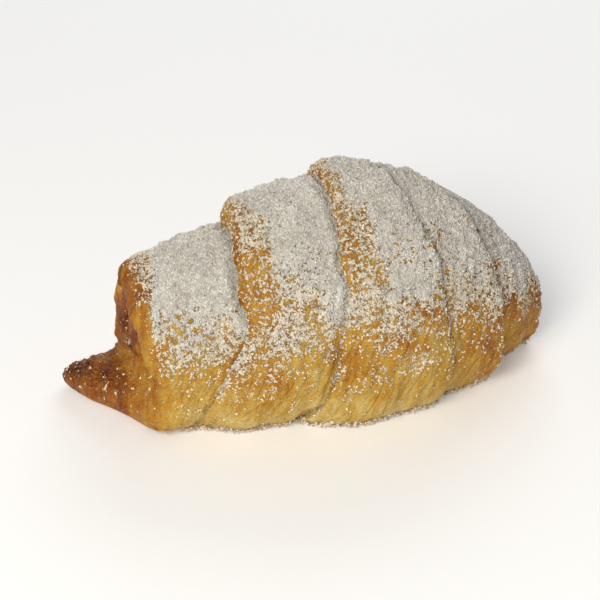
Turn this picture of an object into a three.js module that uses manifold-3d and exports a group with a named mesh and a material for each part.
// A crescent cookie. A long triangle of sweet dough is rolled up from its wide base to its tip, bent a
// little and baked on a tray, so it is one piece: wrap lies over wrap, each one shorter than the last.
// Millimetres, +Z up. The roll runs along X and both of its ends bend towards +Y. The origin is on the
// tray, under the middle of the cookie's outline.
import * as THREE from "three";
import { mergeVertices } from "three/addons/utils/BufferGeometryUtils.js";
import Module from "manifold-3d";

const wasm = await Module();
wasm.setup();

// ---- Driving dimensions

// The roll's axis is an arc in plan. Places along it are measured from its middle.
const BEND_RADIUS = 120;
const LEFT_END = -29.4;
const RIGHT_END = 39.5;
const LEFT_END_SLANT = 1.9; // how much further the left end reaches on the far side than on the near side

// The roll's outline without any steps: fattest at one place, drawn in to both sides.
const FATTEST_AT = -4;
const FATTEST_RADIUS = 20.8;
const REACH_LEFT = 51;
const REACH_RIGHT = 47;
const FULLNESS_LEFT = 2.4;
const FULLNESS_RIGHT = 2.6;

// The dough's two edges wind around the roll. One turn further in, each lies nearer its own end.
const LEFT_EDGE = 3.2;
const LEFT_PITCH = 14.4;
const LEFT_PITCH_GROWTH = 0.97;
const WANDER = 0.8; // the left edge wanders once a turn
const WANDER_PHASE = THREE.MathUtils.degToRad(85);
const RIPPLE = 1.2; // and, more strongly, twice a turn
const RIPPLE_PHASE = THREE.MathUtils.degToRad(-58);
const RIGHT_EDGE = 13.2;
const RIGHT_PITCH = 9.4;
const RIGHT_PITCH_GROWTH = 0.9;
const TIP_TURN = -0.5; // the triangle's tip is tucked under the roll
const TIP_ROUND_SHARE = 0.45; // near the tip the two edges' rounds take this share of its width each
const LAST_TURN = 2; // further in than this, the edges are hidden in the ends

// Steps at the edges, and the round of the dough's edge.
const LEFT_STEP = 1.9;
const LEFT_STEP_SWELL = 1.4; // the left step is higher by this much one turn in
const RIGHT_STEP = 0.9;
const RIGHT_STEP_GROWTH = 0.5;
const RIGHT_STEP_LEAN = 0.45; // share by which the right step is lower on top and higher below
const EDGE_ROUND = 2.4;

// How the roll sits: its underside is flattened by the tray, and the thin right end is lifted off it.
const SIT = 0.825; // height of the axis as a share of the radius
const UNDERSIDE_FULLNESS = 2.4;
const LIFT = 0.9;
const LIFT_FROM = 20; // the lift begins here and is complete at LIFT_TO
const LIFT_TO = 40;

// The open ends show the rolled dough edge on, as a spiral groove.
const RIM_ROUND = 3;
const SPIRAL_PITCH = 4.6;
const SPIRAL_DEPTH = 1.9;
const SPIRAL_HALF_WIDTH = 1.1;
const SPIRAL_FADES_FROM = 0.7; // share of the way in from the rim at which the groove begins to fade
const END_RECESS = 1.6;
const RECESS_OVER = 1 / 3; // share of the way in over which the face sinks to END_RECESS

// The flap: a corner of the triangle's base that lies flat on the tray beside the left end.
const FLAP_ROOT = -20;
const FLAP_TIP = -38.6;
const FLAP_NEAR_ROOT = -8.4; // the near side at the roll's end, from where it runs aslant to the tip
const FLAP_NEAR_FROM = -27.6;
const FLAP_FAR = 13.4;
const FLAP_SLANT = 1.6;
const FLAP_THICK = 8.5;
const FLAP_THIN = 5;
const FLAP_TIP_WIDTH = 4.4;
const FLAP_TIP_FULLNESS = 12;
const FLAP_SIT = 0.42; // height of its middle as a share of its thickness

// Fineness of the skins.
const EDGE_RINGS = 3; // rings over the round of one dough edge
const PLAIN_RINGS = 6; // rings between two dough edges
const RIM_RINGS = 3;
const FACE_RINGS = 11;
const ROLL_SIDES = 44;
const FLAP_RINGS = 12;
const FLAP_SIDES = 24;
const MEAN_SAMPLES = 24; // angles at which the roll's mean radius is taken
const MERGE_WITHIN = 1e-4;

const clamp = THREE.MathUtils.clamp;

// ---- The rolled dough

// The quarter round of a dough edge: 0 outside it, 1 once it is EDGE_ROUND inside.
function edgeRound(inside) {
  const share = clamp(inside / EDGE_ROUND, 0, 1);
  return Math.sqrt(1 - (1 - share) ** 2);
}

function leftEdge(turn) {
  const wander = WANDER * Math.sin(turn * 2 * Math.PI + WANDER_PHASE);
  const ripple = RIPPLE * Math.sin(turn * 4 * Math.PI + RIPPLE_PHASE);
  return LEFT_EDGE - LEFT_PITCH * turn - LEFT_PITCH_GROWTH * turn ** 2 + wander + ripple;
}

function rightEdge(turn) {
  return RIGHT_EDGE + RIGHT_PITCH * turn + RIGHT_PITCH_GROWTH * turn ** 2;
}

function outline(along) {
  const left = along < FATTEST_AT;
  const away = Math.abs(along - FATTEST_AT) / (left ? REACH_LEFT : REACH_RIGHT);
  const fullness = left ? FULLNESS_LEFT : FULLNESS_RIGHT;
  return FATTEST_RADIUS * Math.sqrt(1 - clamp(away, 0, 1) ** fullness);
}

// The roll's radius at a place along the axis and an angle from its top, towards the near side (-Y).
function rollRadius(along, angle) {
  let radius = outline(along);
  for (let turn = angle / (2 * Math.PI); turn <= LAST_TURN; turn += 1) {
    if (turn < TIP_TURN) continue;
    const swell = Math.sin(clamp(turn / LAST_TURN, 0, 1) * Math.PI);
    const leftStep = LEFT_STEP + LEFT_STEP_SWELL * swell;
    const lean = 1 - RIGHT_STEP_LEAN * Math.cos(angle);
    const rightStep = (RIGHT_STEP + RIGHT_STEP_GROWTH * turn) * lean;
    radius -= leftStep * (1 - edgeRound(along - leftEdge(turn)));
    radius -= rightStep * (1 - edgeRound(rightEdge(turn) - along));
  }
  return radius;
}

function meanRadius(along) {
  let sum = 0;
  for (let i = 0; i < MEAN_SAMPLES; i += 1) {
    sum += rollRadius(along, ((i + 0.5) / MEAN_SAMPLES) * 2 * Math.PI - Math.PI);
  }
  return sum / MEAN_SAMPLES;
}

// A point of the roll, from its place along the bent axis, its distance from the axis and its angle.
function onRoll(along, radius, angle) {
  const heading = along / BEND_RADIUS;
  const low = Math.cos(angle) < 0;
  const power = UNDERSIDE_FULLNESS;
  const corner = Math.abs(Math.sin(angle)) ** power + Math.abs(Math.cos(angle)) ** power;
  const reach = low ? radius * corner ** (-1 / power) : radius;
  const across = -reach * Math.sin(angle);
  const lifted = LIFT * clamp((along - LIFT_FROM) / (LIFT_TO - LIFT_FROM), 0, 1) ** 2;
  return new THREE.Vector3(
    BEND_RADIUS * Math.sin(heading) - across * Math.sin(heading),
    BEND_RADIUS * (1 - Math.cos(heading)) + across * Math.cos(heading),
    SIT * meanRadius(along) + lifted + reach * Math.cos(angle),
  );
}

// How far the end face lies inside the end's rim, at a share of the way in from the rim.
function endRecess(rimRadius, share, angle) {
  const inward = rimRadius * share;
  const turns = inward / SPIRAL_PITCH - angle / (2 * Math.PI);
  const fromGroove = (turns - Math.round(turns)) * SPIRAL_PITCH;
  const groove = SPIRAL_DEPTH * Math.exp(-((fromGroove / SPIRAL_HALF_WIDTH) ** 2));
  const nearMiddle = THREE.MathUtils.smoothstep(share, SPIRAL_FADES_FROM, 1);
  const sink = Math.sin(Math.min(1, share / RECESS_OVER) * Math.PI * 0.5);
  return (END_RECESS + groove * (1 - nearMiddle)) * sink;
}

function endPlace(side, angle) {
  return side < 0 ? LEFT_END + LEFT_END_SLANT * Math.sin(angle) : RIGHT_END;
}

// A point of the left (side -1) or right (side 1) end: first the round of the rim, then the face.
function onEnd(side, step, angle) {
  const end = endPlace(side, angle);
  const start = end - side * RIM_ROUND;
  const radius = rollRadius(start, angle);
  if (step <= RIM_RINGS) {
    const bow = (step / RIM_RINGS) * Math.PI * 0.5;
    const along = start + side * RIM_ROUND * Math.sin(bow);
    return onRoll(along, radius - RIM_ROUND * (1 - Math.cos(bow)), angle);
  }
  const share = (step - RIM_RINGS) / FACE_RINGS;
  const rim = radius - RIM_ROUND;
  const middle = endPlace(side, 0);
  const face = THREE.MathUtils.lerp(end, middle, share) - side * endRecess(rim, share, angle);
  return onRoll(face, rim * (1 - share), angle);
}

// A closed skin over rings of points. The first and the last ring are one point each.
function closedSkin(rings, sides, place) {
  const points = [place(0, 0)];
  for (let ring = 1; ring < rings; ring += 1) {
    for (let side = 0; side < sides; side += 1) points.push(place(ring, side));
  }
  points.push(place(rings, 0));
  const lastPoint = points.length - 1;
  const at = (ring, side) => 1 + (ring - 1) * sides + (side % sides);
  const faces = [];
  for (let side = 0; side < sides; side += 1) {
    faces.push(0, at(1, side + 1), at(1, side));
    for (let ring = 1; ring < rings - 1; ring += 1) {
      faces.push(at(ring, side), at(ring + 1, side + 1), at(ring + 1, side));
      faces.push(at(ring, side), at(ring, side + 1), at(ring + 1, side + 1));
    }
    faces.push(at(rings - 1, side), at(rings - 1, side + 1), lastPoint);
  }
  const geometry = new THREE.BufferGeometry().setFromPoints(points);
  geometry.setIndex(faces);
  return geometry;
}

// Rings over the round of one edge, closest together where it is steepest. The dough lies on the side
// that inside points to, and width is EDGE_ROUND, or less where two edges nearly meet.
function ringsOverEdge(edge, inside, width) {
  const places = [];
  for (let i = 0; i <= EDGE_RINGS; i += 1) {
    places.push(edge + inside * width * (1 - Math.cos((i / EDGE_RINGS) * Math.PI * 0.5)));
  }
  return inside > 0 ? places : places.reverse();
}

// Where the rings of the roll's skin lie at one angle: they follow the dough's edges around the roll.
function ringPlaces(angle) {
  const turn = angle / (2 * Math.PI);
  const from = endPlace(-1, angle) + RIM_ROUND;
  const to = endPlace(1, angle) - RIM_ROUND;
  const width = Math.min(EDGE_ROUND, TIP_ROUND_SHARE * (rightEdge(turn) - leftEdge(turn)));
  const edges = [
    ringsOverEdge(Math.max(leftEdge(turn + 2), from + EDGE_ROUND), 1, width),
    ringsOverEdge(leftEdge(turn + 1), 1, width),
    ringsOverEdge(leftEdge(turn), 1, width),
    ringsOverEdge(rightEdge(turn), -1, width),
    ringsOverEdge(rightEdge(turn + 1), -1, width),
    ringsOverEdge(Math.min(rightEdge(turn + 2), to - EDGE_ROUND), -1, width),
    [to],
  ];
  const places = [from];
  for (const edge of edges) {
    const last = places[places.length - 1];
    for (let i = 1; i < PLAIN_RINGS; i += 1) {
      places.push(THREE.MathUtils.lerp(last, edge[0], i / PLAIN_RINGS));
    }
    places.push(...edge);
  }
  return places;
}

function rolledDough() {
  const endRings = RIM_RINGS + FACE_RINGS;
  const bodyRings = ringPlaces(0).length - 1;
  const rings = endRings + bodyRings + endRings;
  return closedSkin(rings, ROLL_SIDES, (ring, side) => {
    const angle = ((side + 0.5) / ROLL_SIDES) * 2 * Math.PI - Math.PI;
    if (ring < endRings) return onEnd(-1, endRings - ring, angle);
    if (ring > endRings + bodyRings) return onEnd(1, ring - endRings - bodyRings, angle);
    const along = ringPlaces(angle)[ring - endRings];
    return onRoll(along, rollRadius(along, angle), angle);
  });
}

// ---- The flap of dough on the tray

function flap() {
  return closedSkin(FLAP_RINGS, FLAP_SIDES, (ring, side) => {
    const share = Math.sin((ring / FLAP_RINGS) * Math.PI * 0.5);
    const angle = (side / FLAP_SIDES) * 2 * Math.PI;
    const x = THREE.MathUtils.lerp(FLAP_ROOT, FLAP_TIP, share);
    const near = FLAP_NEAR_ROOT + FLAP_SLANT * Math.max(0, FLAP_NEAR_FROM - x);
    const thickness = THREE.MathUtils.lerp(FLAP_THICK, FLAP_THIN, share);
    const closing = ring === 0 ? 0 : Math.sqrt(1 - share ** FLAP_TIP_FULLNESS);
    const halfWidth = Math.max(FLAP_FAR - near, FLAP_TIP_WIDTH) / 2;
    const across = FLAP_FAR - halfWidth + halfWidth * closing * Math.sin(angle);
    const up = FLAP_SIT * thickness + 0.5 * thickness * closing * Math.cos(angle);
    return new THREE.Vector3(x, across, up);
  });
}

// ---- Joining

function toManifold(geometry) {
  const plain = geometry.clone();
  plain.deleteAttribute("normal");
  plain.deleteAttribute("uv");
  const merged = mergeVertices(plain, MERGE_WITHIN);
  const vertProperties = new Float32Array(merged.attributes.position.array);
  const triVerts = new Uint32Array(merged.index.array);
  return new wasm.Manifold(new wasm.Mesh({ numProp: 3, vertProperties, triVerts }));
}

function toGeometry(solid) {
  const mesh = solid.getMesh();
  const geometry = new THREE.BufferGeometry();
  geometry.setAttribute("position", new THREE.BufferAttribute(new Float32Array(mesh.vertProperties), 3));
  geometry.setIndex(new THREE.BufferAttribute(new Uint32Array(mesh.triVerts), 1));
  return geometry;
}

// Everything above the tray: a block that the joined dough is cut with, so that its base is flat.
function aboveTheTray() {
  const size = 4 * REACH_RIGHT;
  return new THREE.BoxGeometry(size, size, size).translate(0, 0, size / 2);
}

const dough = toManifold(rolledDough()).add(toManifold(flap())).intersect(toManifold(aboveTheTray()));
const doughGeometry = toGeometry(dough);
doughGeometry.computeVertexNormals();
doughGeometry.computeBoundingBox();
const middleOfOutline = doughGeometry.boundingBox.getCenter(new THREE.Vector3());

const cookie = new THREE.Group();
const rolledPastry = new THREE.Mesh(
  doughGeometry,
  new THREE.MeshStandardMaterial({ color: 0xb9883c, roughness: 0.6, metalness: 0 }),
);
rolledPastry.name = "rolled_pastry";
rolledPastry.position.set(-middleOfOutline.x, -middleOfOutline.y, 0);
cookie.add(rolledPastry);

export default cookie;
